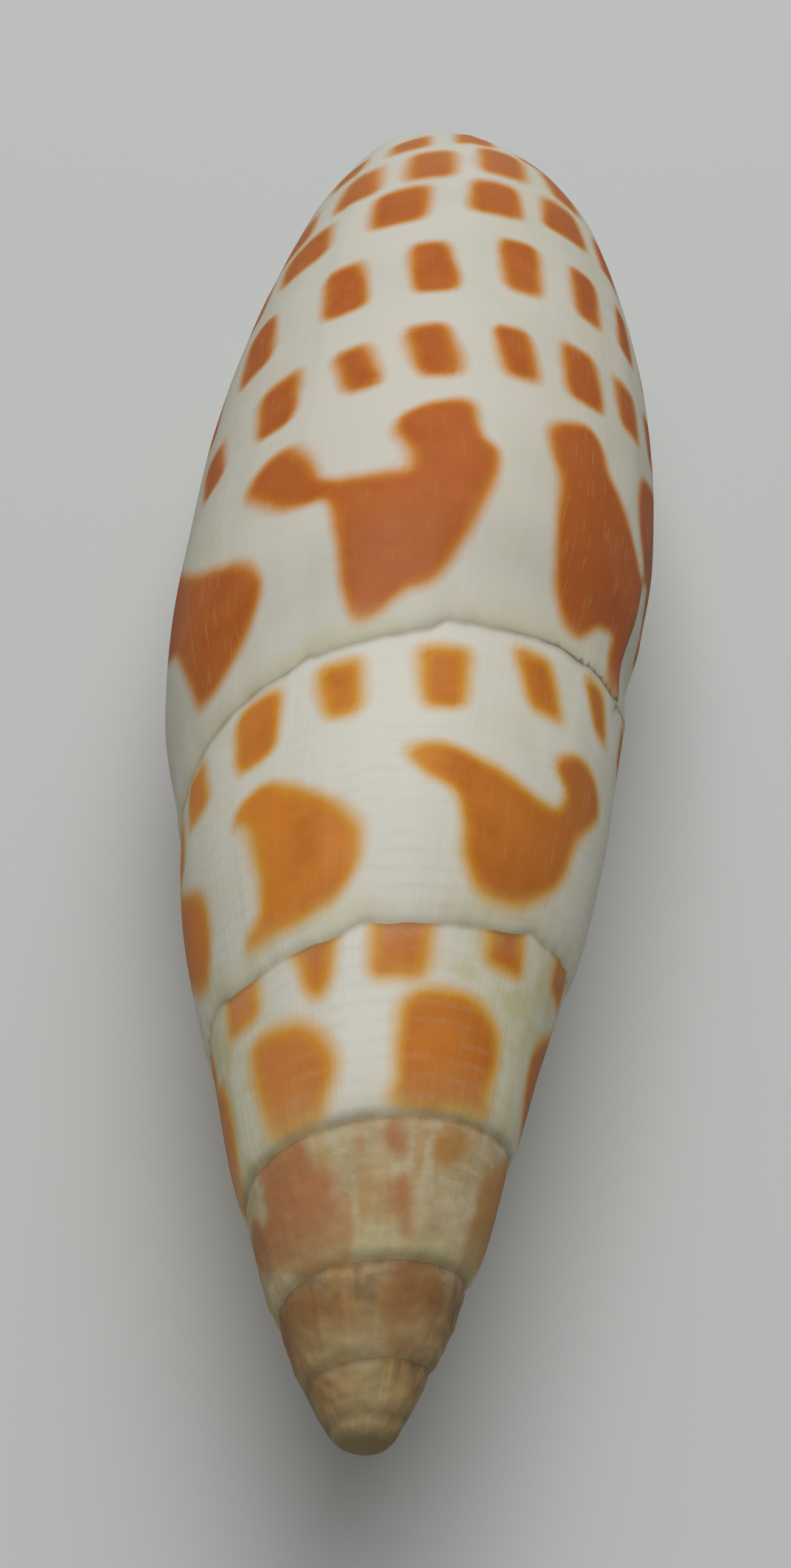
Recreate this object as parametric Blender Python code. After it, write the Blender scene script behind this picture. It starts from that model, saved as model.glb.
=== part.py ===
"""Mitre shell: one grown piece, a spire of coiled whorls that ends in a long narrow aperture.

The shell lies on its aperture. Its axis runs along Y, with the tip of the spire towards -Y and
the siphonal end towards +Y. +Z is the back of the shell and +X the side of the outer lip.

A place on the shell is a turn and a distance along the axis. Turns count whole whorls, and turn 0
is the last whorl on the back of the shell. Distances run from the tip, as shares of LENGTH.
"""
import math

import bmesh
import bpy
from mathutils import Matrix, Vector

# Driving dimensions, in metres.
LENGTH = 0.110              # tip of the spire to the siphonal end, along the axis
WALL = 0.0023               # thickness of the last whorl's wall
LIP_ROUNDING = 0.0010       # how far the rounded lip edge reaches past the last growth line
SUTURE_STEP = 0.00020       # how far each whorl stands proud of the one before it
FOLD_HEIGHTS = (0.0013, 0.0012, 0.0010, 0.0008, 0.0006)   # folds of the columella, back to front
FASCIOLE_HEIGHT = 0.0009    # ridge of old growth round the siphonal end
VENTRAL_FLAT = 0.0012       # how far the underside is flattened behind the aperture
DEEP_GAP = 0.0008           # what is left between wall and columella at the hollow's deep end

# The coil.
LIP_TURN = 0.39             # where growth stopped
WHORLS = 7                  # whorls from the worn tip to the lip
CAVITY_TURNS = 5 / 9        # how far the aperture's hollow runs back from the lip
SUTURE_GROWTH = (-0.994, 0.606, 0.054, 0.016)   # exponents of the suture's distance from the tip

# Outlines, as shares of LENGTH: (distance from the tip, radius of the coil at the suture).
SPIRE_OUTLINE = ((0.0, 0.0), (0.0012, 0.0075), (0.004, 0.0122), (0.012, 0.0176), (0.028, 0.0258),
                 (0.057, 0.0386), (0.113, 0.0584), (0.19, 0.0804), (0.28, 0.1062), (0.38, 0.1225),
                 (0.44, 0.132), (0.52, 0.138), (1.0, 0.15))
# Bend of the coil's axis towards the lip side, as shares of LENGTH: (distance from the tip, bend).
AXIS_BEND = ((0.0, 0.0045), (0.03, 0.0020), (0.1, 0.0), (0.2, -0.003), (0.28, -0.0025),
             (0.36, 0.0), (0.5, 0.0014), (1.0, 0.0012))
# Last whorl: (share of the way from its suture to its end, radius over its suture's radius).
BODY_OUTLINE = ((0.0, 1.0), (0.045, 1.065), (0.127, 1.20), (0.25, 1.265), (0.38, 1.27),
                (0.53, 1.25), (0.67, 1.20), (0.80, 1.125), (0.90, 1.01), (1.0, 0.74))
# Columella: (share of the way from the suture to the end, radius as a share of LENGTH).
COLUMELLA_OUTLINE = ((0.0, 0.112), (0.07, 0.090), (0.18, 0.053), (0.34, 0.035), (0.6, 0.028),
                     (0.85, 0.025), (1.0, 0.020))

# Reliefs, each with its height as a share and a (middle, width) along the turn or the axis.
WHORL_BULGE = 0.008         # how far a spire whorl bulges, over its height
NOTCH_DEPTH = 0.035         # siphonal notch
NOTCH_SPAN = (0.06, 0.10)
LIP_CORNER = 0.05           # how far the lip's front corner draws back
PINCH = 0.10                # hollow in front of the suture, next to the lip
PINCH_PLACE = 0.12
LIP_CURL = 0.08             # how far the lip curls in under the shell
CURL_OF_SWELL = 0.6         # how much of the curl the swelling loses
FASCIOLE_SPAN = (-0.015, 0.018)
FASCIOLE_SLANT = 0.05
FOLD_PLACES = (0.30, 0.38, 0.46, 0.53, 0.60)     # folds, on the columella's own scale
FOLD_WIDTH = 0.016
FOLD_SLANT = 0.25           # how far a fold climbs in a turn
STEP_REACH = 0.004          # how far in front of the suture its step is full
STEP_GROWS = (-0.02, 0.11)  # the step of the first whorls is smaller
FLAT_TURN = (0.51, 0.09)
FLAT_ALONG = (0.49, 0.10)

# Where something grows along the turns: (turn where it starts, turns that it takes).
LIP_CORNER_GROWS = (0.20, 0.22)
PINCH_GROWS = (0.0, 0.30)
CURL_GROWS = (0.18, 0.28)
INNER_LIP_SWELLS = (LIP_TURN - 1, 0.26)
FRONT_UNROLLS = (LIP_TURN - 1, 0.62)
FASCIOLE_GROWS = (LIP_TURN - 0.95, 0.15)
FASCIOLE_FADES = (-0.10, 0.20)
FOLDS_GROW = (LIP_TURN - 1.35, 0.10)
FOLDS_FADE = (LIP_TURN - 0.98, 0.09)
FLAT_FADES = (LIP_TURN - 0.10, 0.10)

# Where something grows along a whorl: (share where it starts, share that it takes).
CURL_DEEPENS = (0.0, 0.20)
FRONT_GATHERS = (0.45, 0.55)
PARIETAL_WALL = (0.0, 0.30)
WALL_THICKENS = 0.03        # the wall is full this far in front of the suture
WALL_THINS = 0.02           # and until this far behind the front rim
CORNER_SPAN = 0.05          # part of the hollow's wall that turns in at its back corner
CORNER_MARGIN = 0.022       # how far the hollow's back corner lies in front of the suture
CORNER_TURNS = 0.08         # turns behind the lip in which it gets there
HOLLOW_CLOSES = 0.8         # how much of the gap closes towards the deep end

# Mesh resolution.
COLUMNS = 36                # growth steps in a whorl
SPIRE_ROWS = 6              # rows across the part of a whorl that shows in the spire
BODY_ROWS = 14              # further rows across the last whorl
ROW_CROWDING = 1.3          # how closely the spire rows crowd at the suture
LIP_STEPS = 4               # steps round the lip's edge
WELD = 0.00002              # points closer than this are one point

# How the shell lies when it rests on its aperture.
REST_ROLL = math.radians(-3.25)
REST_PITCH = math.radians(-1.94)
REST_PLACE = Vector((-0.00106, -0.05505, 0.01554))   # middle of the footprint from the tip's place

SHELL_WHITE = (0.80, 0.76, 0.68, 1.0)
SHELL_ROUGHNESS = 0.3


def curve_through(points):
    """Return a smooth function through (x, y) points that never overshoots them."""
    xs = [p[0] for p in points]
    ys = [p[1] for p in points]
    slopes = [(ys[i + 1] - ys[i]) / (xs[i + 1] - xs[i]) for i in range(len(xs) - 1)]
    tangents = [slopes[0]]
    for before, after in zip(slopes, slopes[1:]):
        same_way = before * after > 0
        tangents.append(2 * before * after / (before + after) if same_way else 0.0)
    tangents.append(slopes[-1])

    def value(x):
        x = min(max(x, xs[0]), xs[-1])
        i = max(k for k in range(len(xs) - 1) if xs[k] <= x or k == 0)
        width = xs[i + 1] - xs[i]
        t = (x - xs[i]) / width
        return (ys[i] * (1 + 2 * t) * (1 - t) ** 2 + tangents[i] * width * t * (1 - t) ** 2
                + ys[i + 1] * t * t * (3 - 2 * t) - tangents[i + 1] * width * t * t * (1 - t))

    return value


def smooth(x):
    """Ease from 0 to 1 as x goes from 0 to 1."""
    x = min(max(x, 0.0), 1.0)
    return x * x * (3 - 2 * x)


def grown(x, span):
    """Ease from 0 to 1 over a (start, width) span."""
    return smooth((x - span[0]) / span[1])


def mound(x, span):
    """Bell curve of height 1 over a (middle, width) span."""
    return math.exp(-((x - span[0]) / span[1]) ** 2)


spire_radius = curve_through(SPIRE_OUTLINE)
body_swell = curve_through(BODY_OUTLINE)
columella_radius = curve_through(COLUMELLA_OUTLINE)
axis_bend = curve_through(AXIS_BEND)


def suture(turn):
    """Distance of a whorl's suture from the tip."""
    a, b, c, d = SUTURE_GROWTH
    return math.exp(a + b * turn + c * turn ** 2 + d * turn ** 3)


def front_end(turn):
    """Where the last whorl ends in front."""
    return 1.0 - NOTCH_DEPTH * mound(turn, NOTCH_SPAN) - LIP_CORNER * grown(turn, LIP_CORNER_GROWS)


def whorl_radius(turn, along):
    """Radius of a spire whorl, as a share of the length."""
    back = suture(turn)
    height = suture(turn + 1) - back
    share = min(max((along - back) / height, 0.0), 1.0)
    return spire_radius(along) + WHORL_BULGE * height * 4 * share * (1 - share)


def last_whorl_radius(turn, along):
    """Radius of the last whorl: it swells in front of its suture and gathers in at its front end."""
    back = suture(turn)
    base = spire_radius(back)
    share = min((along - back) / (1.0 - back), 1.0)
    pinch = PINCH * share / PINCH_PLACE * math.exp(1 - share / PINCH_PLACE) * grown(turn, PINCH_GROWS)
    curl = LIP_CURL * grown(turn, CURL_GROWS)
    swell = 1 + (body_swell(share) - 1) * (1 - CURL_OF_SWELL * curl)
    radius = base * swell * (1 - pinch) * (1 - curl * grown(share, CURL_DEEPENS))
    rolled = 1 - grown(turn, FRONT_UNROLLS)
    gather = (base * body_swell(1.0) - columella_radius(1.0)) * rolled
    ridge = FASCIOLE_HEIGHT / LENGTH * grown(turn, FASCIOLE_GROWS) * (1 - grown(turn, FASCIOLE_FADES))
    behind_front = along - front_end(turn) + FASCIOLE_SLANT * rolled
    return radius - gather * grown(share, FRONT_GATHERS) + ridge * mound(behind_front, FASCIOLE_SPAN)


def inner_lip_radius(turn, along):
    """Radius of the columella and of the wall above it, with the columella's folds."""
    back = suture(turn + 1)
    share = min(max((along - back) / (1.0 - back), 0.0), 1.0)
    wall_above = (spire_radius(back) - columella_radius(0.0)) * (1 - grown(share, PARIETAL_WALL))
    radius = columella_radius(share) + wall_above
    fade = grown(turn, FOLDS_GROW) * (1 - grown(turn, FOLDS_FADE))
    for fold_place, height in zip(FOLD_PLACES, FOLD_HEIGHTS):
        middle = fold_place + FOLD_SLANT * (turn - LIP_TURN + 1)
        radius += height / LENGTH * fade * mound(share, (middle, FOLD_WIDTH))
    return radius


def outer_radius(turn, along):
    """Radius of the shell's outside in metres."""
    back = suture(turn)
    height = suture(turn + 1) - back
    beyond = along - back
    radius = whorl_radius(turn, along) if beyond <= height else inner_lip_radius(turn, along)
    share = grown(turn, INNER_LIP_SWELLS)
    if share > 0:
        radius += (last_whorl_radius(turn, along) - radius) * share
    step = SUTURE_STEP * (1 - math.exp(-beyond / STEP_REACH)) * (1 - smooth(beyond / height))
    step *= grown(along, STEP_GROWS)
    under = FLAT_TURN[0] + (turn - FLAT_TURN[0]) - round(turn - FLAT_TURN[0])
    flat = VENTRAL_FLAT * mound(under, FLAT_TURN) * mound(along, FLAT_ALONG)
    return radius * LENGTH + step - flat * (1 - grown(turn, FLAT_FADES))


def place(turn, along, radius):
    """Point at a turn, a distance along the axis and a radius from the axis."""
    angle = 2 * math.pi * turn
    bend = axis_bend(along) * LENGTH
    return Vector((radius * math.sin(angle) + bend, along * LENGTH, radius * math.cos(angle)))


def rows_between(back, middle, front):
    """Where a section's rows lie: crowded from back to middle, even from middle to front."""
    spire = [back + (middle - back) * (i / SPIRE_ROWS) ** ROW_CROWDING for i in range(SPIRE_ROWS + 1)]
    body = [middle + (front - middle) * i / BODY_ROWS for i in range(1, BODY_ROWS + 1)]
    return spire + body


def last_whorl_rows(turn):
    """Rows of a last-whorl section; the first rows keep the height of the whorl they come from."""
    exposed = suture(LIP_TURN) - suture(LIP_TURN - 1)
    return rows_between(suture(turn), suture(turn) + exposed, front_end(turn))


def spire_section(turn):
    """Points from a spire whorl's suture to the next suture."""
    rows = rows_between(suture(turn), suture(turn + 1), 1.0)[:SPIRE_ROWS]
    points = [place(turn, along, outer_radius(turn, along)) for along in rows]
    return points + [place(turn + 1, suture(turn + 1), outer_radius(turn + 1, suture(turn + 1)))]


def body_section(turn):
    """Points of the last whorl's outside, from its suture to its front end."""
    return [place(turn, along, outer_radius(turn, along)) for along in last_whorl_rows(turn)]


def wall_share(turn, along):
    """How much of the full wall thickness a point has: none at the suture and at the front rim."""
    thickening = smooth((along - suture(turn)) / WALL_THICKENS)
    thinning = smooth((front_end(turn) - along) / WALL_THINS)
    return math.sqrt(thickening * thinning)


def lip_section(angle):
    """Points of the lip's rounded edge; angle goes from 0, outside, to pi, inside."""
    points = []
    for along in last_whorl_rows(LIP_TURN):
        share = wall_share(LIP_TURN, along)
        radius = outer_radius(LIP_TURN, along) - WALL * share * (1 - math.cos(angle)) / 2
        past = LIP_ROUNDING * share * math.sin(angle) / (2 * math.pi * radius)
        points.append(place(LIP_TURN + past, along, radius))
    return points


def hollow_corner(turn):
    """Where the hollow's back corner lies along the axis."""
    return suture(turn) + CORNER_MARGIN * smooth((LIP_TURN - turn) / CORNER_TURNS)


def hollow_wall_section(turn):
    """Points of the outer wall's inside, from the back corner to the front rim."""
    depth = smooth((LIP_TURN - turn) / CAVITY_TURNS) ** 2
    corner = hollow_corner(turn)
    front = front_end(turn)
    points = []
    for row in last_whorl_rows(turn):
        share = (row - suture(turn)) / (front - suture(turn))
        along = corner + (front - corner) * share
        inner = inner_lip_radius(turn - 1, along) * LENGTH
        radius = outer_radius(turn, along) - WALL * wall_share(turn, along)
        closing = HOLLOW_CLOSES * depth * smooth((front - along) / CORNER_SPAN)
        radius += (inner + DEEP_GAP - radius) * closing
        radius = inner + (radius - inner) * math.sqrt(smooth(share / CORNER_SPAN))
        points.append(place(turn, along, radius))
    return points


def columella_section(turn):
    """Points of the columella from the hollow's back corner to its tip, one whorl in."""
    corner = hollow_corner(turn + 1)
    rows = last_whorl_rows(LIP_TURN - 1)[SPIRE_ROWS:]
    points = []
    for row in rows:
        share = (row - rows[0]) / (rows[-1] - rows[0])
        along = corner + (rows[-1] - corner) * share
        points.append(place(turn, along, inner_lip_radius(turn, along) * LENGTH))
    return points


def skin(mesh, sections):
    """Grow a sheet by extruding its first section through the others; return the last one's points."""
    row = mesh.verts.layers.int.get("row") or mesh.verts.layers.int.new("row")
    chain = [mesh.verts.new(point) for point in sections[0]]
    for index, vert in enumerate(chain):
        vert[row] = index
    edges = [mesh.edges.new(pair) for pair in zip(chain, chain[1:])]
    for section in sections[1:]:
        new = bmesh.ops.extrude_edge_only(mesh, edges=edges)["geom"]
        chain = sorted((g for g in new if isinstance(g, bmesh.types.BMVert)), key=lambda v: v[row])
        for vert, point in zip(chain, section):
            vert.co = point
        edges = [g for g in new if isinstance(g, bmesh.types.BMEdge)
                 and abs(g.verts[0][row] - g.verts[1][row]) == 1]
    return chain


def turns_between(first, last):
    """Growth steps from one turn to another, either way round."""
    steps = round(abs(last - first) * COLUMNS)
    return [first + (last - first) * i / steps for i in range(steps + 1)]


def build_shell():
    """Make the shell's closed mesh: outside, rounded lip, hollow, columella and the two tips."""
    mesh = bmesh.new()
    inner_start = LIP_TURN - 1
    skin(mesh, [spire_section(t) for t in turns_between(LIP_TURN - WHORLS, inner_start)])
    skin(mesh, [body_section(t) for t in turns_between(inner_start, LIP_TURN)])
    lip = [lip_section(math.pi * i / LIP_STEPS) for i in range(LIP_STEPS)]
    hollow = [hollow_wall_section(t) for t in turns_between(LIP_TURN, LIP_TURN - CAVITY_TURNS)]
    wall_end = skin(mesh, lip + hollow)
    columella = [columella_section(t) for t in turns_between(inner_start, inner_start - CAVITY_TURNS)]
    columella_end = skin(mesh, columella)
    mesh.faces.new(wall_end + columella_end[::-1])
    bmesh.ops.remove_doubles(mesh, verts=mesh.verts, dist=WELD)
    bmesh.ops.holes_fill(mesh, edges=[e for e in mesh.edges if e.is_boundary], sides=0)
    bmesh.ops.triangulate(mesh, faces=[f for f in mesh.faces if len(f.verts) > 3])
    bmesh.ops.recalc_face_normals(mesh, faces=mesh.faces)
    bmesh.ops.rotate(mesh, verts=mesh.verts, matrix=Matrix.Rotation(REST_ROLL, 3, "Y"))
    bmesh.ops.rotate(mesh, verts=mesh.verts, matrix=Matrix.Rotation(REST_PITCH, 3, "X"))
    bmesh.ops.translate(mesh, verts=mesh.verts, vec=REST_PLACE)
    return mesh


def porcelain():
    """Glossy shell white."""
    material = bpy.data.materials.new("shell_porcelain")
    material.use_nodes = True
    shader = material.node_tree.nodes["Principled BSDF"]
    shader.inputs["Base Color"].default_value = SHELL_WHITE
    shader.inputs["Roughness"].default_value = SHELL_ROUGHNESS
    shader.inputs["Metallic"].default_value = 0.0
    return material


def main():
    for obj in list(bpy.data.objects):
        bpy.data.objects.remove(obj, do_unlink=True)
    mesh = build_shell()
    data = bpy.data.meshes.new("shell")
    mesh.to_mesh(data)
    mesh.free()
    data.shade_smooth()
    data.materials.append(porcelain())
    shell = bpy.data.objects.new("shell", data)
    bpy.context.scene.collection.objects.link(shell)


main()
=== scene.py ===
"""Mitre shell: the fine surface, its markings, its wear, and the light and camera round it."""

import bisect
import itertools
import math
import random
from functools import cache, partialmethod
from types import SimpleNamespace

import bmesh
import bpy
import numpy as np
from mathutils import Euler, Matrix, Vector, noise


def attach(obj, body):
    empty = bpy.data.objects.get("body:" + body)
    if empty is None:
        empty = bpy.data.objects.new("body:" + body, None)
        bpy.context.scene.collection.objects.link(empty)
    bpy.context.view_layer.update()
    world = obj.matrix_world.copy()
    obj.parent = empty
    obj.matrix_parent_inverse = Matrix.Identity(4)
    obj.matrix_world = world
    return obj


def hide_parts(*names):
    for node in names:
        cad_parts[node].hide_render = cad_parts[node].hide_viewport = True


MM = 0.001

# Driving dimensions, in metres, as in the solid.
LENGTH = 0.110  # tip of the spire to the siphonal end, along the axis
WALL = 0.0023  # thickness of the last whorl's wall
LIP_ROUNDING = 0.0010  # how far the rounded lip edge reaches past the last growth line
SUTURE_STEP = 0.00020  # how far each whorl stands proud of the one before it
FOLD_HEIGHTS = (0.0013, 0.0012, 0.0010, 0.0008, 0.0006)  # folds of the columella, back to front
FASCIOLE_HEIGHT = 0.0009  # ridge of old growth round the siphonal end
VENTRAL_FLAT = 0.0012  # how far the underside is flattened behind the aperture
DEEP_GAP = 0.0008  # what is left between wall and columella at the hollow's deep end

# The coil. Turn 0 is the last whorl on the back of the shell.
LIP_TURN = 0.39
WHORLS = 7
CAVITY_TURNS = 5 / 9
SUTURE_GROWTH = (-0.994, 0.606, 0.054, 0.016)

# Outlines, as shares of LENGTH: (distance from the tip, radius of the coil at the suture).
SPIRE_OUTLINE = (
    (0.0, 0.0), (0.0012, 0.0075), (0.004, 0.0122), (0.012, 0.0176), (0.028, 0.0258),
    (0.057, 0.0386), (0.113, 0.0584), (0.19, 0.0804), (0.28, 0.1062), (0.38, 0.1225), (0.44, 0.132),
    (0.52, 0.138), (1.0, 0.15),
)
AXIS_BEND = (
    (0.0, 0.0045), (0.03, 0.0020), (0.1, 0.0), (0.2, -0.003), (0.28, -0.0025), (0.36, 0.0),
    (0.5, 0.0014), (1.0, 0.0012),
)
BODY_OUTLINE = (
    (0.0, 1.0), (0.045, 1.065), (0.127, 1.20), (0.25, 1.265), (0.38, 1.27), (0.53, 1.25),
    (0.67, 1.20), (0.80, 1.125), (0.90, 1.01), (1.0, 0.74),
)
COLUMELLA_OUTLINE = (
    (0.0, 0.112), (0.07, 0.090), (0.18, 0.053), (0.34, 0.035), (0.6, 0.028), (0.85, 0.025),
    (1.0, 0.020),
)

# Reliefs of the solid, each with its height as a share and a (middle, width).
WHORL_BULGE = 0.008
NOTCH_DEPTH = 0.035
NOTCH_SPAN = (0.06, 0.10)
LIP_CORNER = 0.05
PINCH = 0.10
PINCH_PLACE = 0.12
LIP_CURL = 0.08
CURL_OF_SWELL = 0.6
FASCIOLE_SPAN = (-0.015, 0.018)
FASCIOLE_SLANT = 0.05
FOLD_PLACES = (0.30, 0.38, 0.46, 0.53, 0.60)
FOLD_WIDTH = 0.016
FOLD_SLANT = 0.25
STEP_REACH = 0.004
STEP_GROWS = (-0.02, 0.11)  # the step of the first whorls is smaller
FLAT_TURN = (0.51, 0.09)
FLAT_ALONG = (0.49, 0.10)

# Where something grows along the turns: (turn where it starts, turns that it takes).
LIP_CORNER_GROWS = (0.20, 0.22)
PINCH_GROWS = (0.0, 0.30)
CURL_GROWS = (0.18, 0.28)
INNER_LIP_SWELLS = (LIP_TURN - 1, 0.26)
FRONT_UNROLLS = (LIP_TURN - 1, 0.62)
FASCIOLE_GROWS = (LIP_TURN - 0.95, 0.15)
FASCIOLE_FADES = (-0.10, 0.20)
FOLDS_GROW = (LIP_TURN - 1.35, 0.10)
FOLDS_FADE = (LIP_TURN - 0.98, 0.09)

# Where something grows along a whorl: (share where it starts, share that it takes).
CURL_DEEPENS = (0.0, 0.20)
FRONT_GATHERS = (0.45, 0.55)
PARIETAL_WALL = (0.0, 0.30)
WALL_THICKENS = 0.03
WALL_THINS = 0.02
CORNER_SPAN = 0.05
CORNER_MARGIN = 0.022
CORNER_TURNS = 0.08
HOLLOW_CLOSES = 0.8

# How the shell lies, as in the solid.
REST_ROLL = math.radians(-3.25)
REST_PITCH = math.radians(-1.94)
REST_PLACE = Vector((-0.00106, -0.05505, 0.01554))

# Fine mesh.
COLUMNS = 180
SPIRE_ROWS = 44
BODY_ROWS = 86
ROW_CROWDING = 1.6
LIP_STEPS = 6
WELD = 0.0000005

# How far sutures stray forwards from their even line: (degrees round the shell, millimetres).
BODY_SUTURE_STRAYS = (
    (-140, 0), (-75, 0.45), (-50, 0.45), (-26, 0.2), (-22.5, 0.58), (-19.5, 0.3), (-8, 0.05),
    (0, 0), (8, 0.08), (12.6, 0.66), (16, 0.42), (18.6, 0.5), (21.5, 0.24), (33, 0), (42, -0.12),
    (50, -0.42), (58, -0.5), (68, -1.2), (76, -0.9), (120, 0),
)
PENULTIMATE_SUTURE_STRAYS = (
    (-100, 0), (-63, 0.4), (-54, -0.2), (-38, -0.4), (-12, -0.45), (-1.5, 0.0), (4, -0.3),
    (20, -0.36), (38, -0.3), (49, 0), (55, 0.45), (60, 0.25), (80, 0.2), (120, 0),
)

# Fine relief, in metres.
SUTURE_WANDER = 0.00007  # finer wander of every suture
WANDER_WAVES = 30  # its waves for each turn
WANDER_FULL = 0.2  # share of the length from the tip at which it is full
GROOVE = 0.00010  # depth of the groove that wear has opened along the older sutures
GROOVE_REACH = 0.00032
SUTURE_WIDENING = 0.45  # how fast the coil widens in a turn, for the beads' even length
CRENULATION = 0.00007  # beads of the newer whorl's edge
BEAD_MM = 1.25  # length of a bead
BEAD_REACH = 0.0009  # how far in front of the suture the beads reach
BEAD_HEIGHTS = (0.6, 0.8)  # their heights: the middle, and how far they vary
BEAD_CHANGES = 0.31  # step through the noise from one bead to the next
UNEVENNESS = 0.00006  # slow swells and dents of the surface
SWELLS = ((0.09, 1.0), (0.23, 0.5))  # features for each millimetre, and their share
GROWTH_STOP_TURN = 0.197  # an old lip edge that growth went on from
GROWTH_STOP_HEIGHT = 0.00020
GROWTH_STOP_RISE = 0.035  # turns over which it rises
GROWTH_STOP_FALL = 0.06  # turns over which the surface beyond it comes up again
GROWTH_STOP_DROP = 0.6  # how far down it drops, over its height
GROWTH_STOP_REACH = (0.0105, 0.006)  # metres in front of the suture where it fades, and over which
LIP_TEETH = 0.0005  # depth of the notches between the teeth of the lip's front half
LIP_TOOTH_MM = 1.9
TOOTH_NOTCH_FLOOR = -0.3  # where a notch's wave is cut flat
TEETH_GROW = (0.60, 0.08)  # share of the length where the teeth start
TEETH_FADE = (0.90, 0.04)
GROWTH_LINES = 0.00003
GROWTH_LINE_WAVES = (55, 4)  # for each turn, and for the length
EROSION = 0.00009  # pitting of the worn whorls
PITTING = ((0.8, 1.0), (1.9, 0.6))  # features for each millimetre, and their share
WORN_TURNS = (2.5, 1.1)  # turns back from the last one where wear starts, and that it takes
GROOVE_TURNS = (1.4, 0.9)  # and where the grooves start
TIP_SMOOTH = 0.006  # share of the length from the tip over which relief grows
INWARD_FADE = (0.0, 0.05)  # turns over which relief fades on the way in
# No growth relief this far round and along from where the lip meets the whorl before it.
MEETING_TURNS = 0.02
MEETING_SHARE = 0.004
SUTURE_NOISE, BEAD_NOISE, LINE_NOISE = 3.7, 8.1, 1.3  # the slice of noise that each of them reads

# What each point of the mesh knows of its growth: its turn, its distance along the axis, and how
# far inside the shell it lies, from 0 outside to 1.
GROWTH = ("turn", "along", "inside")

OUTLINE_STEPS = 5  # steps from one named point of a blotch's outline to the next
SMALL_POINTS = 28  # points of a small marking's outline
SQUARENESS = 0.45  # 1 is an ellipse, 0 a rectangle
SPREAD_MM = 0.16  # how far markings spread past their outlines
FAR_MM = 3.0  # markings further off than this don't count
FAR_BEHIND = 99.0  # distance to the next suture where there is none
EDGE_TURNS = 0.00001  # slack at the last whorl's first turn
EDGE_MM = 0.01  # and at the next suture
UNMARKED_INSIDE = 0.6  # markings end this far inside the lip
MARKING_SEED, TONE_SEED = 11, 5
TINY = 1e-9  # keeps a division from zero

THREAD_WAVES = 6.6  # radians of a spiral thread's wave for each millimetre
THREAD_STRAY = 5.0  # radians by which threads stray
ROUND_MM = 105.0  # length round the last whorl, for patterns along the growth lines

# Turns between which the finish changes: (where a change starts, where it is full).
OLDER = (-0.35, -0.75)  # golden markings and brighter ground, before the last whorl
THIRD_STAINS = (-1.4, -1.9)
# the third whorl, where its markings fade and carry painted glints and painted light
THIRD_FADES_AND_LIGHT = (-1.3, -1.9)
WORN = (-2.15, -2.75)  # the glaze is gone
OCHRE_GROWS = (-2.97, -2.88)  # one side of the fourth whorl is yellower
RUST_DARKENS = (-3.08, -3.7)
THREADS_FADE = (-3.2, -3.8)
NEAR_TIP = (-3.3, -3.75)
CHAFED = (-4.35, -3.85)
OLD_FORE_GRIME = (-1.1, -1.95)  # brown in front of the older sutures
OLD_REAR_GRIME = (-1.6, -2.9)  # and behind the next ones
GRIME_DARKENS = (-3.4, -4.6)
RIGHT_DIRT = (0.05, 0.15)  # where the last suture is dirty
LEFT_DIRT = ((-0.035, -0.08), (-0.38, -0.3))  # both ends of a stretch of it
BEAD_DIRT = ((0.09, 0.15), (0.21, 0.20))

SHELL_ROUGHNESS = 0.32
WORN_ROUGHNESS = 0.26  # that wear adds
SHELL_SPECULAR = 0.3
BUMP_DISTANCE = 0.00005
BUMP_STRENGTH = 0.6
FLOOR_ROUGHNESS = 0.9
FLOOR_SPECULAR = 0.1

# Colours of the shell, linear.
IVORY = (0.72, 0.69, 0.597)
IVORY_GREEN = (0.675, 0.665, 0.567)
IVORY_WARM = (0.75, 0.70, 0.605)
IVORY_LINE = (0.78, 0.765, 0.69)
IVORY_BRIGHT = (0.82, 0.79, 0.69)
IVORY_DULL = (0.62, 0.57, 0.46)
AMBER = (0.70, 0.27, 0.014)
AMBER_GOLD = (0.76, 0.37, 0.018)
ORANGE = (0.545, 0.142, 0.022)
ORANGE_LIGHT = (0.585, 0.168, 0.030)
ORANGE_DEEP = (0.475, 0.112, 0.018)
ORANGE_LINE = (0.62, 0.25, 0.08)
# paler orange: real fading of the markings, and also painted glints and painted light on the third
# whorl
ORANGE_FADED_AND_LIT = (0.62, 0.33, 0.17)
GOLD = (0.66, 0.215, 0.027)
GOLD_LIGHT = (0.75, 0.26, 0.036)
GOLD_DEEP = (0.54, 0.155, 0.020)
# painted light: gold of the older markings on the left side of the shell
GOLD_PAINTED_LIGHT = (0.85, 0.28, 0.036)
RUST = (0.44, 0.175, 0.064)
RUST_BROWN = (0.26, 0.135, 0.048)
OCHRE = (0.44, 0.26, 0.06)
BEIGE = (0.52, 0.41, 0.225)
BEIGE_DULL = (0.41, 0.31, 0.165)
BEIGE_PALE = (0.60, 0.51, 0.34)
TAN = (0.30, 0.185, 0.08)
TAN_DARK = (0.21, 0.12, 0.045)
TAN_PALE = (0.40, 0.285, 0.165)
TAN_STREAK = (0.49, 0.262, 0.077)
TAN_GOLDEN = (0.25, 0.148, 0.05)
STAIN = (0.63, 0.57, 0.29)
GRIME = (0.32, 0.26, 0.11)
GRIME_DARK = (0.16, 0.11, 0.05)
GRIME_BROWN = (0.27, 0.175, 0.085)
APERTURE_CREAM = (0.72, 0.52, 0.32)

# Studio.
FLOOR_HALF = 3.0
FAR_GREY = (0.49, 0.505, 0.495)  # what the far floor and the surround show to the camera
FAR_STARTS = 150.0  # millimetres from the middle of the floor
FAR_FULL = 900.0
FLOOR_GREY = (0.594, 0.612, 0.597)
BLACK = (0.0, 0.0, 0.0)
SURROUND = (0.96, 0.975, 1.0)
SURROUND_STRENGTH = 0.14
LAMP_SIZE = 0.9
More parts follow.
